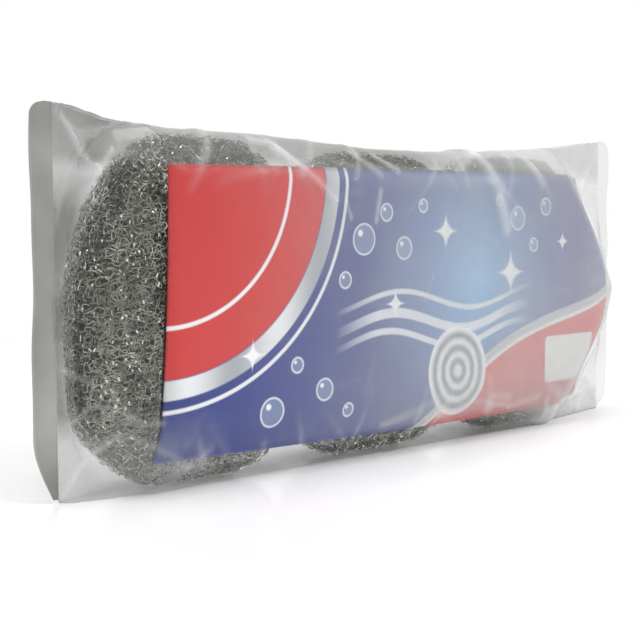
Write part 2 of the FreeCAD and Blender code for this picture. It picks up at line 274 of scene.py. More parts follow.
def coated_card():
    """Coated board, offset printed: even satin colours and the slight waviness of thin board. The print is
    blue with a glow, white strokes, a red wave, a red quarter disc, a plate of silver rings, bubbles,
    sparkles and a bare white patch."""
    material, tree, shader = new_material("coated_print_card")
    place = add_node(tree, "ShaderNodeTexCoord", output="UV")
    u = add_node(tree, "ShaderNodeSeparateXYZ", {0: place}, "X")
    v = u.node.outputs["Y"]
    along = add_node(tree, RANGE, {0: u, 1: 0, 2: PRINT_WIDTH})
    ground = add_node(tree, MIX, {SHARE: along, UNDER: "#152e80", OVER: "#383f98"}, **COLOURS)
    # share and colour of each layer on the blue ground, from the lowest up
    layers = []
    ends = {0: place, 1: (*GLOW_CENTRE, 0)}
    glow = add_node(tree, "ShaderNodeVectorMath", ends, "Value", operation="DISTANCE")
    glow = add_node(tree, RANGE, {0: glow, 1: GLOW_REACH, 2: 0})
    layers.append((add_node(tree, MATH, {0: glow, 1: 1.5}, operation="POWER"), "#86c4f2"))
    # white wave strokes
    for level, thick in STROKES:
        swing = add_node(tree, MATH, {0: u, 1: 9.0 + 0.06 * level}, operation="DIVIDE")
        swing = add_node(tree, MATH, {0: swing}, operation="SINE")
        line = add_node(tree, MATH, {0: swing, 1: 3.2, 2: level}, operation="MULTIPLY_ADD")
        stroke = add_node(tree, RANGE, {0: off_line(tree, v, line), 1: thick + 0.3, 2: thick - 0.3})
        for start, end in STROKE_FADES:
            fade = add_node(tree, RANGE, {0: u, 1: start, 2: end})
            stroke = add_node(tree, MATH, {0: stroke, 1: fade}, operation="MULTIPLY")
        layers.append((stroke, "#e9eef4"))
    # red wave along the lower right, with a silver and a white edge
    swell = add_node(tree, MATH, {0: u, 1: 96.0}, operation="SUBTRACT")
    swell = add_node(tree, MATH, {0: swell, 1: 26.0}, operation="DIVIDE")
    swell = add_node(tree, MATH, {0: swell}, operation="SINE")
    slope = add_node(tree, RANGE, {0: u, 1: 84, 2: PRINT_WIDTH, 3: -12, 4: 44})
    crest = add_node(tree, MATH, {0: swell, 1: 7.0, 2: slope}, operation="MULTIPLY_ADD")
    depth = add_node(tree, MATH, {0: crest, 1: v}, operation="SUBTRACT")
    deep = add_node(tree, RANGE, {0: depth, 1: 0, 2: 30})
    red = add_node(tree, MIX, {SHARE: deep, UNDER: "#e0343a", OVER: "#c41f2b"}, **COLOURS)
    for start, end, colour in ((-4.6, -4.2, "#c9cdd2"), (-1.6, -1.2, "#f3f4f5"), (-0.2, 0.2, red)):
        layers.append((add_node(tree, RANGE, {0: depth, 1: start, 2: end}), colour))
    # red quarter disc in the upper left, with a silver ring and two thin white ones
    far, inside = disc(tree, place, QUARTER_CENTRE, QUARTER_RADIUS)
    outer = add_node(tree, RANGE, {0: far, 1: 0, 2: QUARTER_RADIUS})
    red = add_node(tree, MIX, {SHARE: outer, UNDER: "#c41a1c", OVER: "#cf2826"}, **COLOURS)
    layers.append((inside, red))
    sheen = add_node(tree, MATH, {0: u, 1: 5.0}, operation="DIVIDE")
    sheen = add_node(tree, MATH, {0: sheen}, operation="SINE")
    sheen = add_node(tree, RANGE, {0: sheen, 1: -1, 2: 1})
    silver = add_node(tree, MIX, {SHARE: sheen, UNDER: "#a9aeb4", OVER: "#eceef0"}, **COLOURS)
    for radius, width, colour in ((61, 5.5, silver), (67, 1.2, "#f1f3f5"), (44, 1.2, "#f1f3f5")):
        layers.append((ring(tree, far, radius, width), colour))
    # plate of silver rings
    away, plate = disc(tree, place, PLATE_CENTRE, PLATE_RADIUS)
    sweep = add_node(tree, MATH, {0: away, 1: 1.5}, operation="MULTIPLY")
    sweep = add_node(tree, MATH, {0: sweep}, operation="SINE")
    sweep = add_node(tree, RANGE, {0: sweep, 1: -1, 2: 1})
    metal = add_node(tree, MIX, {SHARE: sweep, UNDER: "#8f959c", OVER: "#f2f4f6"}, **COLOURS)
    layers.append((plate, metal))
    layers.append((ring(tree, away, PLATE_RADIUS, 1.0), "#fafbfc"))
    for centre, radius in BUBBLES:
        away, inside = disc(tree, place, centre, radius)
        layers.append((add_node(tree, MATH, {0: inside, 1: 0.25}, operation="MULTIPLY"), "#cfe6fa"))
        layers.append((ring(tree, away, radius, 0.5), "#eef5fb"))
        shine = (centre[0] - 0.35 * radius, centre[1] + 0.4 * radius)
        layers.append((disc(tree, place, shine, 0.22 * radius)[1], "#ffffff"))
    for centre, size in SPARKLES:
        across, upward = [
            add_node(tree, MATH, {0: off_line(tree, axis, middle)}, operation="SQRT")
            for axis, middle in zip((u, v), centre)
        ]
        reach = add_node(tree, MATH, {0: across, 1: upward}, operation="ADD")
        star = add_node(tree, RANGE, {0: reach, 1: math.sqrt(size), 2: 0.8 * math.sqrt(size)})
        layers.append((star, "#ffffff"))
    # bare white patch with round corners
    squares = []
    for axis, middle, half in zip((u, v), PATCH_CENTRE, PATCH_HALF):
        beyond = add_node(tree, MATH, {0: off_line(tree, axis, middle), 1: half}, operation="SUBTRACT")
        beyond = add_node(tree, MATH, {0: beyond, 1: 0.0}, operation="MAXIMUM")
        squares.append(add_node(tree, MATH, {0: beyond, 1: 2.0}, operation="POWER"))
    beyond = add_node(tree, MATH, {0: squares[0], 1: squares[1]}, operation="ADD")
    beyond = add_node(tree, MATH, {0: beyond}, operation="SQRT")
    layers.append((add_node(tree, RANGE, {0: beyond, 1: 2.3, 2: 1.9}), "#f0f0ee"))
    for share, colour in layers:
        ground = add_node(tree, MIX, {SHARE: share, UNDER: ground, OVER: colour}, **COLOURS)
    # the print is laid out in millimetres, so the waves of the board are too
    noise = {"Vector": place, "Scale": 1 / BOARD_WAVE, "Detail": 2.0}
    board = add_node(tree, "ShaderNodeTexNoise", noise)
    bump = add_node(tree, "ShaderNodeBump", {"Height": board, "Strength": 0.5, "Distance": 2 * MM})
    gloss = add_node(tree, RANGE, {0: board, 1: NOISE_LOW, 2: NOISE_HIGH, 3: 0.28, 4: 0.42})
    feed(shader, {"Base Color": ground, "Normal": bump, "Roughness": gloss})
    return material


# Bag shape

TUBE_LOW, TUBE_HIGH = node_box("film_tube")
# The end seals fold this far beyond the tube
HINGE_GAP = 0.5
HINGE_LEFT = TUBE_LOW[0] - HINGE_GAP
HINGE_RIGHT = TUBE_HIGH[0] + HINGE_GAP
# Half the depth of the bag where it is full, and at its ends
TUBE_HALF = TUBE_HIGH[1]
END_HALF = 0.15
# Half the width of the narrow foot and top of the bag
FOOT_HALF = 7.0
TOP_HALF = 5.0
# How far the back film is drawn in between the scourers, and over what width
DRAWN_IN = 1.8
DRAWN_WIDTH = 7.0
CARD_LOW, CARD_HIGH = node_box("insert_card")
PAD_BOXES = [node_box(f"{side}_scourer_sleeve") for side in SIDES]
PAD_HALF = (PAD_BOXES[0][1] - PAD_BOXES[0][0]) / 2
PAD_GAPS = [(PAD_BOXES[i][1][0] + PAD_BOXES[i + 1][0][0]) / 2 for i in (0, 1)]
# The empty tail of film starts to flatten over the right scourer, and is a lens from here
TAIL_START = PAD_BOXES[2][1][0] - 14.0
LENS_START = 78.0

# Top edge of the bag along X, low over the middle scourer
TOP_PLACES = (HINGE_LEFT, -109.0, -93.0, -60.0, -37.0, -14.0, 13.0, 40.0, 62.0, 93.0, HINGE_RIGHT)
TOP_HEIGHTS = (101.0, 97.3, 95.8, 95.5, 94.4, 93.2, 93.2, 94.0, 95.3, 97.4, 100.6)

# Points round the bag that a section is measured on
SECTION_STEPS = 500
# Columns along the bag and points round it: just under the 200,000 triangles that an export keeps
FILM_COLUMNS = 380
FILM_AROUND = 260
# Lowest place of the film over the floor
FLOOR_GAP = 0.05


def bag_top(x):
    """Height of the bag's top edge."""
    return np.interp(x, TOP_PLACES, TOP_HEIGHTS)


def fullness(x):
    """0 where the bag is flattened at an end, 1 where it has its full depth."""
    left = rise(x, CARD_LOW[0], HINGE_LEFT)
    right = rise(x, TAIL_START, HINGE_RIGHT)
    return (1 - left ** 1.7) * np.sqrt(1 - right ** 2)


def film_depth(x, z, back):
    """Distance of the film from the bag's middle plane: upright faces on a narrow foot round the
    scourers, a lens that closes early at the ends, drawn in a little between the scourers on the back."""
    full = END_HALF + (TUBE_HALF - END_HALF) * fullness(x)
    if back:
        for gap in PAD_GAPS:
            full = full - DRAWN_IN * np.exp(-((x - gap) / DRAWN_WIDTH) ** 2)
    end = np.maximum(rise(x, LENS_START, LENS_START + 40.0), 0.6 * rise(x, CARD_LOW[0], CARD_LOW[0] - 20.0))
    foot = 6.0 * end
    head = bag_top(x) - 9.0 * end
    low = rise(z, foot + 20.0 + 28.0 * end, foot)
    high = rise(z, head - 13.0 - 45.0 * end, head)
    shape = ((1 - low ** 2) * (1 - high ** 2)) ** (0.5 + 2.0 * end)
    narrow = np.minimum(END_HALF * 0.4 + (FOOT_HALF * low + TOP_HALF * high) * (1 - end), full)
    return narrow + (full - narrow) * shape


def bag_section(x, count):
    """Points and outward normals round the bag at x, from the middle of the back, under, to the front."""
    turn = np.linspace(-math.pi / 2, math.pi / 2, SECTION_STEPS)
    middle = SECTION_STEPS // 2 - 1
    half = float(bag_top(x)) / 2
    z = half + half * np.sin(turn)
    depth_back = film_depth(np.full(SECTION_STEPS, x), z, True)
    depth_front = film_depth(np.full(SECTION_STEPS, x), z, False)
    y = np.concatenate([depth_back[middle::-1], -depth_front, depth_back[:middle:-1]])
    z = np.concatenate([z[middle::-1], z, z[:middle:-1]])
    travel = np.concatenate([[0], np.cumsum(np.hypot(np.diff(y), np.diff(z)))])
    s = np.arange(count) / count * travel[-1]
    y = np.interp(s, travel, y)
    z = np.interp(s, travel, z)
    along_y = np.roll(y, -1) - np.roll(y, 1)
    along_z = np.roll(z, -1) - np.roll(z, 1)
    normal = unit(np.stack([np.zeros(count), -along_z, along_y], axis=1))
    return np.stack([np.full(count, x), y, z], axis=1), normal


# The film changes from back to front within this distance of the bag's middle plane
SIDE_BLEND = 1.5
# Pleats that run in from the two end seals: root, reach, number in 100 mm of height, and size
PLEATS = ((HINGE_LEFT, 10.0, 9, 0.15), (HINGE_RIGHT, 16.0, 7, 0.2))
PLEAT_WAVES = 4
# Creases on the front: places along the crease in X and Z, height and width
FOLDS = (
    (((-124, 100), (-120.5, 94), (-118, 88), (-115, 84)), 0.8, 0.7),
    (((-116, 82), (-111, 89)), 0.4, 0.7),
    (((-69, 93), (-62, 92), (-40, 77)), 0.7, 1.0),
    (((-19, 90), (-11, 86)), 0.6, 0.8),
    (((33, 93), (35.5, 84), (41, 69)), 0.8, 2.5),
    (((-36, 77), (-34, 72)), 0.4, 0.7),
    (((-21, 80), (-23, 71)), 0.4, 0.9),
    (((-124, 2), (-118, 12), (-113, 17)), 1.0, 1.1),
    (((-122, 20), (-118, 25), (-113, 24.5), (-109, 20), (-104, 20)), 0.5, 0.8),
    (((-123, 34), (-118, 30)), 0.5, 0.8),
    (((124, 3), (113, 14), (104, 17)), 0.9, 1.2),
    (((124, 99), (114, 88), (108, 84)), 0.8, 1.2),
    (((96, 12), (101, 20)), 0.5, 0.8),
    (((100, 9), (106, 18)), 0.5, 0.8),
)
FINE_CREASES = 150


def line_distance(x, z, start, end):
    """Distance from points to a straight piece of a crease."""
    span_x = end[0] - start[0]
    span_z = end[1] - start[1]
    t = np.clip(((x - start[0]) * span_x + (z - start[1]) * span_z) / (span_x ** 2 + span_z ** 2), 0, 1)
    return np.hypot(x - start[0] - t * span_x, z - start[1] - t * span_z)


def film_wrinkles(x, y, z):
    """How far the film stands out, in millimetres, and how sharply it is creased, from 0 to 1."""
    rng = np.random.default_rng(4)
    out = np.zeros_like(x)
    crease = np.zeros_like(x)
    front = rise(y, SIDE_BLEND, -SIDE_BLEND)
    for root, reach, waves, size in PLEATS:
        away = np.abs(x - root)
        fade = np.exp(-away / reach) * rise(away, 0.0, 4.0)
        for _ in range(PLEAT_WAVES):
            number = rng.uniform(0.5, 1.3) * waves
            phase = rng.uniform(0, 2 * math.pi) + np.where(y < 0, 1.0, 4.0)
            out += size * fade * (1 + np.sin(z / 100 * number * 2 * math.pi + phase + 0.03 * x))
    for places, height, width in FOLDS:
        distance = np.minimum.reduce(
            [line_distance(x, z, start, end) for start, end in zip(places[:-1], places[1:])])
        ridge = front * np.exp(-(distance / (1.5 * width)) ** 2)
        out += height * ridge
        # the crease share is lightened by the film material as a painted highlight
        crease += 0.6 * ridge ** 2
    # finer creases over the whole bag, faint where the card holds the film flat
    inside_card = rise(np.minimum(z - CARD_LOW[2], CARD_HIGH[2] - z), 4.0, 10.0)
    calm = 1 - 0.7 * front * inside_card * rise(x, CARD_LOW[0], CARD_LOW[0] + 6.0)
    for _ in range(FINE_CREASES):
        side = front if rng.uniform() < 0.55 else 1 - front
        centre_x = rng.uniform(HINGE_LEFT + 4, HINGE_RIGHT - 4)
        centre_z = rng.choice([rng.uniform(6, 92), rng.uniform(78, 94), rng.uniform(3, 14)])
        slope = rng.normal(0, 0.9)
        length = rng.uniform(6, 26)
        step_x = math.cos(slope) * length / 2
        step_z = math.sin(slope) * length / 2
        start = (centre_x - step_x, centre_z - step_z)
        end = (centre_x + step_x, centre_z + step_z)
        height = rng.uniform(0.1, 0.4)
        ridge = side * np.exp(-(line_distance(x, z, start, end) / rng.uniform(1.1, 2.2)) ** 2)
        out += height * ridge * calm
        # fine creases are lightened as a painted highlight too
        crease += 1.1 * height * ridge ** 2 * calm
    return out, np.clip(crease, 0, 1)


# Milky veil of the film where it lies on the card, along X: painted reflected light, stronger towards the
# right
CARD_SHEEN_PLACES = (-101.0, -80.0, -50.0, -10.0, 30.0, 80.0)
CARD_PAINTED_SHEEN = (0.03, 0.06, 0.16, 0.36, 0.42, 0.46)
# How far the veil over the scourers is painted light rather than dark as painted shade, along X
PAINTED_LIGHT_PLACES = (-110.0, -60.0, -25.0, 0.0, 25.0, 60.0)
TOP_PAINTED_LIGHT = (0.2, 0.24, 0.04, 0.04, 0.5, 0.85)
# Veil of film that lies close on what is behind it, and the dark veil added as painted shade where it hangs
# free
CLOSE_VEIL = 0.1
FREE_PAINTED_SHADE = 0.54


def film_veil_and_painted_light(x, y, z):
    """How much the film veils what is behind it, and how far that veil is painted light, both from 0 to 1:
    painted shade, a dark grey veil, where the film hangs free at the left and over the middle of the
    scourers, and painted reflected light, a milky veil, on the card, at the low left, under the card and
    towards the right."""
    upper = rise(z, 58, 88)
    reach = 3.2 + 7.0 * upper
    painted_shade_left = rise(np.abs(y), reach, reach - 2.5) * rise(x, -108.0, -113.0)
    painted_shade_left *= 1 - 0.75 * rise(z, 66, 80)
    painted_shade_left *= 1 - 0.8 * rise(z, 22, 14)
    back_start = 12.0 * upper - 102.0
    painted_shade_back = np.where(y > 0, rise(x, back_start, back_start - 10.0), 0.0)
    painted_shade_back *= 1 - 0.7 * rise(z, 22, 14)
    painted_shade_back *= 1 - 0.65 * rise(z, 74, 88)
    painted_light_low = rise(z, 24, 14) * rise(x, -80, -100)
    over_card = rise(z, CARD_HIGH[2] - 3.0, CARD_HIGH[2] + 1.0)
    under_card = rise(z, CARD_LOW[2] + 4.0, CARD_LOW[2] - 1.0)
    on_card = rise(y, SIDE_BLEND, -SIDE_BLEND) * rise(x, CARD_LOW[0], CARD_LOW[0] + 4.0)
    on_card *= (1 - over_card) * (1 - under_card)
    right = rise(x, 30.0, 70.0)
    # a dark veil painted as shade where the film hangs free at the left, front and back
    veil = CLOSE_VEIL + FREE_PAINTED_SHADE * np.maximum(painted_shade_left, painted_shade_back)
    # a milky veil painted as reflected light at the low left, and under the card towards the right over the
    # shade there
    veil += 0.14 * painted_light_low + 0.4 * under_card * right
    veil += over_card * (0.35 + 0.09 * right) * (1 - painted_shade_left)
    veil += on_card * (np.interp(x, CARD_SHEEN_PLACES, CARD_PAINTED_SHEEN) - CLOSE_VEIL)
    painted_light = 0.08 + 0.72 * right + 0.6 * painted_light_low
    painted_light += over_card * (np.interp(x, PAINTED_LIGHT_PLACES, TOP_PAINTED_LIGHT) - painted_light) * (1 - painted_shade_left)
    painted_light += on_card * (0.8 - painted_light)
    return veil, painted_light


def film_piece(name, points, faces, film, body, values):
    """A mesh of film, with its veil, how far that veil is painted light rather than dark, and its creases."""
    piece = mesh_object(name, points, faces, film, body)
    for value_name, value in zip(FILM_VALUES, values):
        keep_values(piece, value_name, np.broadcast_to(value, len(points)))
    return piece


def build_film(film):
    """The bag: sections along the row, wrinkled along their normals."""
    places = np.linspace(HINGE_LEFT, HINGE_RIGHT, FILM_COLUMNS)
    sections = [bag_section(x, FILM_AROUND) for x in places]
    points = np.concatenate([section[0] for section in sections])
    normals = np.concatenate([section[1] for section in sections])
    x, y, z = points.T
    out, crease = film_wrinkles(x, y, z)
    taper = rise(fullness(x), 0.0, 0.4)
    wrinkled = points + normals * (out * taper)[:, None]
    wrinkled[:, 2] = np.maximum(wrinkled[:, 2], FLOOR_GAP)
    faces = grid_faces(FILM_COLUMNS, FILM_AROUND, closed_columns=True)
    bag = film_piece("film_bag", wrinkled, faces, film, "bag", (*film_veil_and_painted_light(x, y, z), crease))
    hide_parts("film_tube")


def build_back_seam(film):
    """The lengthwise seam, a loose strip of film on the back, joined along its lower edge."""
    low, high = node_box("back_fin_seal")
    count_x = 200
    count_z = 8
    wave = smooth_random(np.random.default_rng(8), count_x, 14, 0.35)[:, None]
    share = np.linspace(0, 1, count_z)
    places = np.linspace(HINGE_LEFT + HINGE_GAP, HINGE_RIGHT - HINGE_GAP, count_x)
    x = np.repeat(places[:, None], count_z, axis=1)
    z = low[2] + (high[2] - low[2]) * share + wave
    y = film_depth(x, z, True) + 1.0 + (0.5 + wave) * share ** 2
    points = np.stack([x, y, z], axis=-1).reshape(-1, 3)
    # creases lightened as a painted highlight, most along the joined lower edge
    crease = np.tile(np.linspace(0.4, 0.1, count_z), count_x)
    seam = film_piece("film_back_seam", points, grid_faces(count_x, count_z), film, "bag", (0.2, 0.3, crease))
    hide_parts("back_fin_seal")


# Each end seal: its root, its direction, the seed of its sway, the height over which its foot tapers, how
# far the foot leans, its veil, and how far that veil is painted light rather than dark as painted shade
END_SEALS = {
    "left": (HINGE_LEFT, -1.0, 21, 16.0, 0.8, 0.84, 0.1),
    "right": (HINGE_RIGHT, 1.0, 22, 5.0, 0.3, 0.45, 0.85),
}
# Height of the seals' lower edge, and radius of their upper corners
SEAL_FOOT = 0.9
SEAL_TOP_CORNER = 3.5


def build_end_seal(side, film):
    """A sealed band with round ears that sways a little along its height."""
    root, outward, seed, foot_taper, foot_lean, veil, painted_light = END_SEALS[side]
    low, high = node_box(f"{side}_end_seal")
    count_z = 200
    count_x = 18
    sway = smooth_random(np.random.default_rng(seed), count_z, 5, 0.4)
    z = np.linspace(SEAL_FOOT, high[2], count_z)
    from_top = rise(z, high[2], high[2] - SEAL_TOP_CORNER)
    from_foot = rise(z, SEAL_FOOT, SEAL_FOOT + foot_taper)
    reach = (0.4 + 0.6 * np.sqrt(1 - (1 - from_top) ** 2)) * (0.2 + 0.8 * np.sin(from_foot * math.pi / 2))
    lean = foot_lean * rise(z, 45, 0) ** 2
    across = np.linspace(0, 1, count_x)
    x = root + outward * (high[0] - low[0]) * across * reach[:, None]
    y = (sway + lean)[:, None] * across ** 1.5
    points = np.stack([x, y, np.repeat(z[:, None], count_x, axis=1)], axis=-1).reshape(-1, 3)
    # the outer edge is lightened as a painted highlight
    crease = np.tile(np.where(across > 0.93, 0.2, 0.03), count_z)
    faces = grid_faces(count_z, count_x)
    seal = film_piece(f"film_{side}_seal", points, faces, film, f"{side}_flap", (veil, painted_light, crease))
    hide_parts(f"{side}_end_seal")


# Card

CARD_THICK = 0.3
# Room between the card's front and the film
CARD_ROOM = 0.9


def card_place(x, z):
    """Y of the card's front: close behind the film, with its lower left corner bent back."""
    drop = rise(z, CARD_HIGH[2], CARD_LOW[2])
    corner = np.clip(1 - (x - CARD_LOW[0]) / 110.0, 0, 1.2)
    return -(film_depth(x, z, False) - CARD_ROOM) + 5.5 * corner ** 1.5 * drop ** 2.2


def build_card(card):
    """The card: two bowed faces and the edge between them, with its print laid out in millimetres."""
    width = CARD_HIGH[0] - CARD_LOW[0]
    height = CARD_HIGH[2] - CARD_LOW[2]
    count_x = 160
    count_z = 64
    u, v = np.meshgrid(np.linspace(0, width, count_x), np.linspace(0, height, count_z), indexing="ij")
    x = CARD_LOW[0] + u
    left = rise(u, 120.0, 0.0)
    foot = CARD_LOW[2] + 0.8 + 0.8 * left
    head = CARD_HIGH[2] - 0.7 - 1.1 * left
    z = foot + (head - foot) * v / height
    front = np.stack([x, card_place(x, z), z], axis=-1).reshape(-1, 3)
    back = front + np.array([0, CARD_THICK, 0])
    count = count_x * count_z
    faces = grid_faces(count_x, count_z)
    index = np.arange(count).reshape(count_x, count_z)
    rim = np.concatenate([index[:, 0], index[-1, 1:], index[-2::-1, -1], index[0, -2:0:-1]])
    rim_next = np.roll(rim, -1)
    edge = np.stack([rim, rim + count, rim_next + count, rim_next], axis=1)
    faces = np.concatenate([faces, faces[:, ::-1] + count, edge])
    piece = mesh_object("printed_card", np.concatenate([front, back]), faces, card, "bag")
    layer = piece.data.uv_layers.new(name="card_mm")
    flat = np.tile(np.stack([u, v], axis=-1).reshape(-1, 2), (2, 1))
    loops = np.zeros(len(piece.data.loops), dtype=np.int32)
    piece.data.loops.foreach_get("vertex_index", loops)
    layer.data.foreach_set("uv", flat[loops].ravel())
    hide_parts("insert_card")


# Scourers
# The form is a pad with a round rim and crowned faces, as in the CAD solids. A course of stitches runs
# round the pad at a constant distance from its outline.

# Width of the round rim, radius of the outline's corners, and half the width of the innermost course
PAD_CROWN = 20.0
PAD_CORNER = 22.0
PAD_INNERMOST = 2.5
# Flat wire, drawn a little wider than the real one so that it shows
WIRE_WIDTH = 0.27
# Width of a stitch, and points along it
STITCH = 3.4
STITCH_POINTS = 9
# Courses this close to the outline are painted lighter as shine, most where the knit turns over the rim to
# the back and at the foot
RIM_INSET = 9.0
RIM_PAINTED_SHINE = 0.95
FOOT_PAINTED_SHINE = 0.6
# Depth of each knitted ply, spacing of its courses, height of its loops and how untidy it is
PLIES = ((0.4, 2.0, 1.9, 1.2), (1.2, 2.1, 2.0, 1.4), (2.1, 2.4, 2.2, 1.5))
# Single loops on each scourer, and points round each
LOOSE_LOOPS = 300
LOOP_POINTS = 18
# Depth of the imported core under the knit, spacing of its rows, points in each, and how full it is
CORE_DEPTH = 3.2
CORE_SPACING = 2.5
CORE_COLUMNS = 140


def rounded_path(half_width, half_height, corner, count):
    """Evenly spaced points and directions round a rectangle with rounded corners, and its length."""
    corner = max(min(corner, half_width, half_height), 0.5)
    upright = 2 * (half_height - corner)
    level = 2 * (half_width - corner)
    arc = corner * math.pi / 2
    ends = np.cumsum([upright, arc, level, arc, upright, arc, level, arc])
    s = np.arange(count) * ends[-1] / count
    x = np.zeros(count)
    z = np.zeros(count)
    heading = np.zeros(count)
    start = np.array([half_width, corner - half_height])
    angle = math.pi / 2
    done = 0.0
    for index, end in enumerate(ends):
        here = (s >= done) & (s < end + 1e-9)
        t = s[here] - done
        forward = np.array([math.cos(angle), math.sin(angle)])
        if index % 2 == 0:
            x[here] = start[0] + forward[0] * t
            z[here] = start[1] + forward[1] * t
            heading[here] = angle
            start = start + forward * (end - done)
        else:
            centre = start + corner * np.array([-forward[1], forward[0]])
            turned = angle + t / corner
            x[here] = centre[0] + corner * np.sin(turned)
            z[here] = centre[1] - corner * np.cos(turned)
            heading[here] = turned
            angle += math.pi / 2
            start = centre + corner * np.array([math.sin(angle), -math.cos(angle)])
        done = end
    return x, z, heading, ends[-1]


def pad_profile(depth, spacing):
    """Rows from the middle of the front to the middle of the back, evenly spaced over the form: inset
    from the outline, place in y, and the row's direction and normal in inset and y."""
    half = PAD_HALF[1] - depth
    t = np.linspace(math.pi / 2, -math.pi / 2, 400)
    inset = depth + (PAD_CROWN - depth) * (1 - np.cos(t))
    y = -half * np.sin(t)
    level = np.linspace(PAD_HALF[0] - PAD_INNERMOST, PAD_CROWN, 60)[:-1]
    inset = np.concatenate([level, inset, level[::-1]])
    y = np.concatenate([np.full(len(level), -half), y, np.full(len(level), half)])
    travel = np.concatenate([[0], np.cumsum(np.hypot(np.diff(inset), np.diff(y)))])
    rows = np.arange(spacing / 2, travel[-1], spacing)
    ahead = rows + 0.1
    row_inset = np.interp(rows, travel, inset)
    row_y = np.interp(rows, travel, y)
    step_in = row_inset - np.interp(ahead, travel, inset)
    step_y = np.interp(ahead, travel, y) - row_y
    along = unit(np.stack([step_in, step_y], axis=1))
    normal = np.stack([along[:, 1], -along[:, 0]], axis=1)
    return row_inset, row_y, along, normal


def path_ahead(points):
    """The direction of a closed path at each of its points."""
    return unit(np.roll(points, -1, axis=0) - np.roll(points, 1, axis=0))


def ribbon(points, facing):
    """The two edges of a flat wire along a closed path, turned to face a given way."""
    side = unit(np.cross(path_ahead(points), facing)) * WIRE_WIDTH / 2
    return np.stack([points - side, points + side], axis=1).reshape(-1, 3)


def stitch_glints(rng, points, up, peaks, size):
    """Short flat places on the wire at some stitches, four corners each, turned roughly outwards."""
    ahead = path_ahead(points)[peaks]
    facing = up[peaks] + rng.normal(0, 0.3, (len(peaks), 3))
    side = unit(np.cross(ahead, facing)) * size * rng.uniform(0.14, 0.24, (len(peaks), 1))
    ahead = ahead * size * rng.uniform(0.25, 0.5, (len(peaks), 1))
    centre = points[peaks] + 0.08 * up[peaks]
    near, far = centre - side, centre + side
    return np.stack([near - ahead, near + ahead, far + ahead, far - ahead], axis=1)


def pad_outline(inset, count):
    """What rounded_path gives for a pad's outline at an inset."""
    return rounded_path(PAD_HALF[0] - inset, PAD_HALF[2] - inset, PAD_CORNER - inset, count)


def row_frame(inset, count):
    """Points of a row and its directions along and out of the outline."""
    x, z, heading, _ = pad_outline(inset, count)
    zero = np.zeros(count)
    tangent = np.stack([np.cos(heading), zero, np.sin(heading)], axis=1)
    outward = np.stack([np.sin(heading), zero, -np.cos(heading)], axis=1)
    return np.stack([x, zero, z], axis=1), tangent, outward


def knit_ply(rng, depth, spacing, loop, mess):
    """One knitted ply as closed courses of flat wire: the edges and painted shine of each course, and its
    glints.
    """
    courses = []
    glints = []
    row_inset, row_y, along, normal = pad_profile(depth, spacing)
    for inset, y, (along_in, along_y), (normal_in, normal_y) in zip(row_inset, row_y, along, normal):
        length = pad_outline(inset, 8)[3]
        stitches = max(int(round(length / STITCH)), 4)
        count = stitches * STITCH_POINTS
        points, tangent, outward = row_frame(inset, count)
        points[:, 1] = y
        across = outward * along_in + np.array([0, along_y, 0])
        up = outward * normal_in + np.array([0, normal_y, 0])
        start = rng.uniform(0, 1)
        phase = (np.arange(count) / STITCH_POINTS + start) * 2 * math.pi
        tall = np.repeat(rng.uniform(0.7, 1.4, stitches), STITCH_POINTS)
        slip = smooth_random(rng, count, 50, 0.8 * mess)
        lift = smooth_random(rng, count, 70, 0.35 * mess)
        points += tangent * (0.24 * STITCH * np.sin(2 * phase) + slip)[:, None]
        points += across * (loop * tall * np.cos(phase) + slip)[:, None]
        points += up * (0.35 * np.cos(2 * phase) * tall + lift)[:, None]
        twist = smooth_random(rng, count, 90, 1.1) + 0.7 * np.sin(phase)
        facing = up * np.cos(twist)[:, None] + across * np.sin(twist)[:, None]
        near_rim = rise(inset, RIM_INSET, RIM_INSET - 4.0)
        turned_back = near_rim * rise(y, -2.0, 4.0)
        foot = near_rim * rise(points[:, 2], -28.0, -40.0)
        # rim and foot courses painted lighter as shine
        shine = np.maximum(RIM_PAINTED_SHINE * turned_back, FOOT_PAINTED_SHINE * foot)
        courses.append((ribbon(points, facing), np.repeat(shine, 2)))
        # chains of stitches that turn their flat side out, as glints painted near white
        limit = 0.1 if rng.random() < 0.5 else 0.9
        chained = smooth_random(rng, stitches, 6, 1.0) > limit - 1.2 * turned_back
        bright = rng.random(stitches) < np.where(chained, 0.75, 0.06)
        peaks = np.round((np.arange(1, stitches + 1) - start) * STITCH_POINTS).astype(int) % count
        glints.append(stitch_glints(rng, points, up, peaks[bright], 1 + turned_back))
    return courses, np.concatenate(glints)


def loose_loops(rng, number):
    """Single dull loops of wire that stand a little out of the outer ply."""
    row_inset, row_y, _, normal = pad_profile(0.3, 1.0)
    row_points = 400
    loops = []
    turn = np.arange(LOOP_POINTS) / LOOP_POINTS * 2 * math.pi
    for _ in range(number):
        row = rng.integers(0, len(row_inset))
        points, tangent, outward = row_frame(row_inset[row], row_points)
        spot = rng.integers(0, row_points)
        up = outward[spot] * normal[row][0] + np.array([0, normal[row][1], 0])
        across = np.cross(up, tangent[spot])
        centre = points[spot] + np.array([0, row_y[row], 0])
        angle = rng.uniform(0, math.pi)
        first = tangent[spot] * math.cos(angle) + across * math.sin(angle)
        second = np.cross(up, first) * rng.uniform(0.5, 1.0) + up * rng.uniform(-0.25, 0.25)
        radius = rng.uniform(1.2, 2.6) * (1 + 0.15 * np.sin(2 * turn + rng.uniform(0, 6)))
        path = centre + radius[:, None] * (np.cos(turn)[:, None] * first + np.sin(turn)[:, None] * second)
        path = path + up * rng.uniform(-0.3, 0.2)
        loops.append((ribbon(path, np.tile(up, (LOOP_POINTS, 1))), np.zeros(2 * LOOP_POINTS)))
    return loops


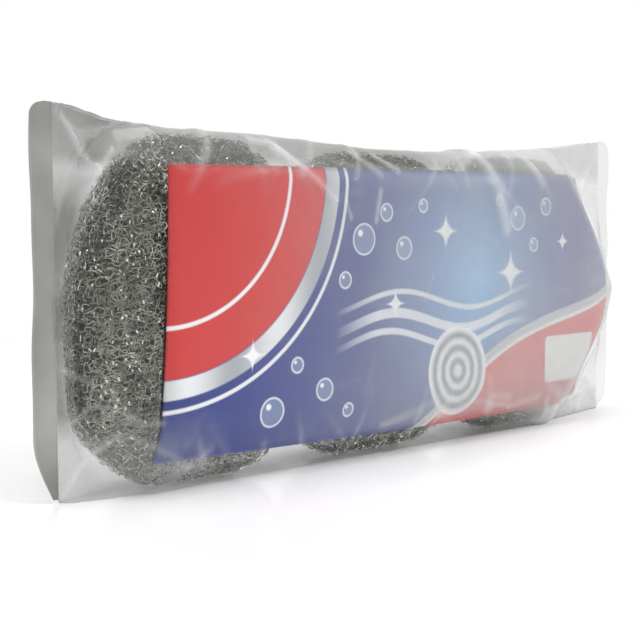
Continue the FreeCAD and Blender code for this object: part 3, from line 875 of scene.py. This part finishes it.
def knit_pad(seed):
    """All wires of a scourer, in its own coordinates: points, faces and how much each point is painted
    lighter as glints or shine.
    """
    rng = np.random.default_rng(seed)
    strands = loose_loops(rng, LOOSE_LOOPS)
    glints = []
    for ply in PLIES:
        courses, flats = knit_ply(rng, *ply)
        strands += courses
        glints.append(flats.reshape(-1, 3))
    points = []
    faces = []
    bright = []
    total = 0
    for strand, shine in strands:
        points.append(strand)
        faces.append(grid_faces(len(strand) // 2, 2, closed_rows=True) + total)
        bright.append(shine)
        total += len(strand)
    glints = np.concatenate(glints)
    points.append(glints)
    faces.append(np.arange(len(glints)).reshape(-1, 4) + total)
    # glints painted near white as highlights, each a little differently
    bright.append(np.repeat(rng.uniform(0.5, 1.0, len(glints) // 4), 4))
    return np.concatenate(points), np.concatenate(faces), np.concatenate(bright)


def wire_core():
    """The closed body under the knitted plies, in a scourer's own coordinates: points and faces."""
    row_inset, row_y, _, _ = pad_profile(CORE_DEPTH, CORE_SPACING)
    rows = []
    for inset, y in zip(row_inset, row_y):
        points, _, _ = row_frame(inset, CORE_COLUMNS)
        points[:, 1] = y
        rows.append(points)
    return np.concatenate(rows), grid_faces(len(rows), CORE_COLUMNS, closed_columns=True)


# Both ends and the middle of each scourer's shift
SHIFTS = ((-1.5, 0.0, 1.5), (-1.5, 0.0, 1.5), (-1.5, 0.0, 3.0, 6.0))
# How far each scourer's top is raised in the bag
TOP_RAISED = (3.5, 1.0, 2.2)
# Room that a scourer keeps from the film and behind the card, and how far it may bulge sideways
FILM_ROOM = 0.6
BEHIND_CARD = 0.7
SIDE_BULGE = 0.7


def settle(points, index):
    """Give each scourer its own shape in the bag, and press it in behind the card and inside the film,
    wherever it shifts."""
    x, y, z = points.T.copy()
    low, high = PAD_BOXES[index]
    middle = (low[0] + high[0]) / 2
    raised = rise(z, 40, 90) ** 1.5
    if SIDES[index] == "left":
        left = rise(x, middle, middle - 35)
        bulge = np.exp(-((z - 30) / 20) ** 2) * left ** 1.5
        shoulder = 13.0 * rise(z, 55, 87) ** 1.2 + 7.6 * rise(z, 22, 5) ** 1.3
        x = x - 1.5 * bulge + shoulder * left
    elif SIDES[index] == "right":
        x = x - 5.5 * raised * rise(x, middle + 36, middle - 24)
    z = z + TOP_RAISED[index] * raised
    x = np.clip(x, low[0] - SIDE_BULGE, high[0] + SIDE_BULGE)
    for shift in SHIFTS[index]:
        there = x + shift
        z = np.clip(z, 0.3, bag_top(there) - FILM_ROOM)
        edge = np.clip(there, CARD_LOW[0], CARD_HIGH[0])
        behind_card = card_place(edge, z) + BEHIND_CARD - 0.5 * np.abs(there - edge)
        inside_film = -(film_depth(there, z, False) - FILM_ROOM)
        y = np.maximum(y, np.maximum(behind_card, inside_film))
        y = np.minimum(y, film_depth(there, z, True) - FILM_ROOM)
    return np.stack([x, y, z], axis=1)


def build_scourers(wire, packed):
    """Each scourer: its knit and its core on its own body, and the CAD tie in the same wire."""
    core_points, core_faces = wire_core()
    for index, side in enumerate(SIDES):
        low, high = PAD_BOXES[index]
        middle = (low + high) / 2
        body = f"{side}_scourer"
        points, faces, bright = knit_pad(10 + index)
        knit = mesh_object(f"{side}_knit", settle(points + middle, index), faces, wire, body)
        # how much each point of the knit is painted lighter as glints or shine
        keep_values(knit, "painted_glint", bright)
        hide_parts(f"{side}_scourer_sleeve")
        core = mesh_object(f"{side}_core", settle(core_points + middle, index), core_faces, packed, body)
        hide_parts(f"{side}_scourer_roll")
        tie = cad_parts[f"{side}_scourer_tie"]
        tie.data.materials.clear()
        tie.data.materials.append(wire)


# Stage, in metres

FLOOR_HALF = 2
# Distances between which the floor fades out
FLOOR_FADE = (0.22, 0.55)
FLOOR_GLOSS = 0.17
FLOOR_LIFT = 0.1
WORLD_LIGHT = 0.5
# Place, size and power of each lamp, and the place they all point at
LAMPS = (
    ("key_softbox", (0.5, -1.1, 0.9), (0.9, 0.9), 9),
    ("top_softbox", (-0.2, 0.0, 1.2), (0.8, 0.5), 7),
    ("left_softbox", (-1.2, -0.3, 0.5), (0.8, 1.0), 2),
)
LAMP_TARGET = (0, 0, 0.05)
CAMERA_PLACE = (-0.3316, -0.2910, 0.0695)
# Yaw, pitch and roll in degrees, then lens and sensor in millimetres
CAMERA_TURN = (46.23, 3.8, -0.35)
CAMERA_LENS = 78.75
CAMERA_SENSOR = 36.0


def build_floor():
    """A pale floor that fades into the white background, with a soft shadow and a faint reflection."""
    mesh = bpy.data.meshes.new("floor")
    corners = [(FLOOR_HALF * x, FLOOR_HALF * y, 0) for x, y in ((-1, -1), (1, -1), (1, 1), (-1, 1))]
    mesh.from_pydata(corners, [], [(0, 1, 2, 3)])
    floor = bpy.data.objects.new("floor", mesh)
    bpy.context.scene.collection.objects.link(floor)
    material, tree, shader = new_material("white_floor")
    tree.nodes.remove(shader)
    matt = add_node(tree, "ShaderNodeBsdfDiffuse", {"Color": "#f3f3f3"})
    gloss = add_node(tree, "ShaderNodeBsdfGlossy", {"Color": "#ffffff", "Roughness": 0.1})
    surface = add_node(tree, "ShaderNodeMixShader", {0: FLOOR_GLOSS, 1: matt, 2: gloss})
    # lifted to white for the camera only
    seen = add_node(tree, "ShaderNodeLightPath", output="Is Camera Ray")
    seen = add_node(tree, MATH, {0: seen, 1: FLOOR_LIFT}, operation="MULTIPLY")
    lift = add_node(tree, "ShaderNodeEmission", {"Strength": seen})
    surface = add_node(tree, "ShaderNodeAddShader", {0: surface, 1: lift})
    place = add_node(tree, "ShaderNodeTexCoord", output="Object")
    away = add_node(tree, "ShaderNodeVectorMath", {0: place}, "Value", operation="LENGTH")
    fade = add_node(tree, RANGE, {0: away, 1: FLOOR_FADE[0], 2: FLOOR_FADE[1]})
    clear = add_node(tree, "ShaderNodeBsdfTransparent")
    surface = add_node(tree, "ShaderNodeMixShader", {0: fade, 1: surface, 2: clear})
    feed(tree.nodes["Material Output"], {"Surface": surface})
    mesh.materials.append(material)


def build_world():
    """White to the camera and in reflections, a plain grey level as light."""
    world = bpy.data.worlds.new("studio")
    bpy.context.scene.world = world
    world.use_nodes = True
    tree = world.node_tree
    path = add_node(tree, "ShaderNodeLightPath").node.outputs
    seen = path["Is Camera Ray"]
    for ray in ("Is Glossy Ray", "Is Transmission Ray"):
        seen = add_node(tree, MATH, {0: seen, 1: path[ray]}, operation="MAXIMUM")
    strength = add_node(tree, RANGE, {0: seen, 1: 0.0, 2: 1.0, 3: WORLD_LIGHT, 4: 1.0})
    feed(tree.nodes["Background"], {"Color": "#ffffff", "Strength": strength})


def add_lamp(name, place, size, power):
    """A rectangular lamp that points at the pack."""
    data = bpy.data.lights.new(name, "AREA")
    data.shape = "RECTANGLE"
    data.size, data.size_y = size
    data.energy = power
    lamp = bpy.data.objects.new(name, data)
    lamp.location = place
    lamp.rotation_euler = (Vector(LAMP_TARGET) - Vector(place)).to_track_quat("-Z", "Y").to_euler()
    bpy.context.scene.collection.objects.link(lamp)


def build_camera():
    """The photograph's view: about 46 degrees round from the front, close to level."""
    yaw, pitch, roll = (math.radians(angle) for angle in CAMERA_TURN)
    forward = Vector((math.sin(yaw) * math.cos(pitch), math.cos(yaw) * math.cos(pitch), -math.sin(pitch)))
    right = Vector((math.cos(yaw), -math.sin(yaw), 0))
    up = right.cross(forward)
    turned_right = right * math.cos(roll) + up * math.sin(roll)
    turned_up = up * math.cos(roll) - right * math.sin(roll)
    data = bpy.data.cameras.new("photo_camera")
    data.lens = CAMERA_LENS
    data.sensor_width = CAMERA_SENSOR
    camera = bpy.data.objects.new("photo_camera", data)
    rotation = Matrix((turned_right, turned_up, -forward)).transposed()
    camera.matrix_world = Matrix.Translation(CAMERA_PLACE) @ rotation.to_4x4()
    bpy.context.scene.collection.objects.link(camera)
    bpy.context.scene.camera = camera


film = polypropylene_film()
build_scourers(galvanised_wire(), packed_wire())
build_film(film)
build_back_seam(film)
for side in END_SEALS:
    build_end_seal(side, film)
build_card(coated_card())
build_floor()
build_world()
for lamp in LAMPS:
    add_lamp(*lamp)
build_camera()
bpy.context.scene.view_settings.view_transform = "Standard"
